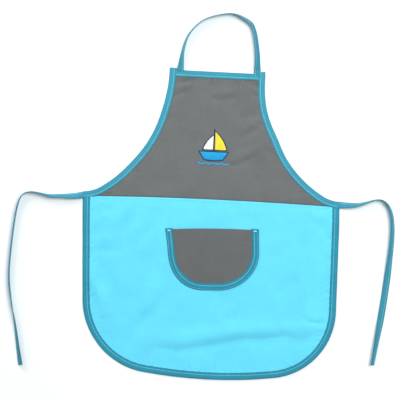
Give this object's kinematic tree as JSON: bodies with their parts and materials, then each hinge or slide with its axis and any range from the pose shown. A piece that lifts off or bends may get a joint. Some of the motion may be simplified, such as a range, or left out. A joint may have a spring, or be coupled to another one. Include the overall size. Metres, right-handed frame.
{
  "type": "bib apron",
  "caption": "Child's cotton bib apron lying flat: bound bib and skirt, half-round pocket, embroidered boat, neck loop and waist ties.",
  "frame": {"origin": "under the middle of the apron's body, on the surface it lies on; the neck loop and the ties aren't counted", "axes": "+Z out of the apron's front, +Y up the apron towards the neck, +X to the right as it lies front up"},
  "size_m": [0.6963, 0.6591, 0.012],
  "materials": {
    "grey_cotton": "plain woven cotton, matt",
    "turquoise_cotton": "plain woven cotton, matt",
    "teal_tape": "folded cotton bias tape, slight sheen",
    "pale_thread": "polyester sewing thread",
    "turquoise_thread": "polyester sewing thread",
    "blue_floss": "satin-stitched embroidery thread",
    "yellow_floss": "satin-stitched embroidery thread",
    "white_floss": "satin-stitched embroidery thread",
    "navy_floss": "satin-stitched embroidery thread",
    "white_backing": "non-woven embroidery backing, matt"
  },
  "bodies": {
    "skirt": {"skirt_panel": "turquoise_cotton", "waist_seam_allowance": "turquoise_cotton", "waist_stitching": "turquoise_thread", "hem_binding": "teal_tape", "hem_stitching": "pale_thread", "pocket_panel": "grey_cotton", "pocket_hem": "grey_cotton", "pocket_binding": "teal_tape", "pocket_outer_stitching": "pale_thread", "pocket_inner_stitching": "pale_thread", "pocket_bartacks": "pale_thread"},
    "bib": {"bib_panel": "grey_cotton", "top_binding": "teal_tape", "top_stitching": "pale_thread", "left_arm_binding": "teal_tape", "left_arm_stitching": "pale_thread", "right_arm_binding": "teal_tape", "right_arm_stitching": "pale_thread", "hull_embroidery": "blue_floss", "mainsail_embroidery": "yellow_floss", "jib_embroidery": "white_floss", "outline_embroidery": "navy_floss", "embroidery_backing": "white_backing"},
    "neck_loop": {"neck_loop": "teal_tape"},
    "left_tie": {"left_tie": "teal_tape"},
    "right_tie": {"right_tie": "teal_tape"}
  },
  "joints": [
    {"name": "bib_fold", "type": "hinge", "parent": "skirt", "child": "bib", "pos_m": [0, 0.0425, 0.002], "axis": [1, 0, 0], "range_deg": [0, 150]},
    {"name": "neck_loop_swing", "type": "hinge", "parent": "bib", "child": "neck_loop", "pos_m": [0, 0.2754, 0.0006], "axis": [1, 0, 0], "range_deg": [-90, 90]},
    {"name": "left_tie_swing", "type": "hinge", "parent": "skirt", "child": "left_tie", "pos_m": [-0.2319, 0.0425, 0.0006], "axis": [0, 1, 0], "range_deg": [-90, 90]},
    {"name": "right_tie_swing", "type": "hinge", "parent": "skirt", "child": "right_tie", "pos_m": [0.2319, 0.0425, 0.0006], "axis": [0, -1, 0], "range_deg": [-90, 90]}
  ]
}
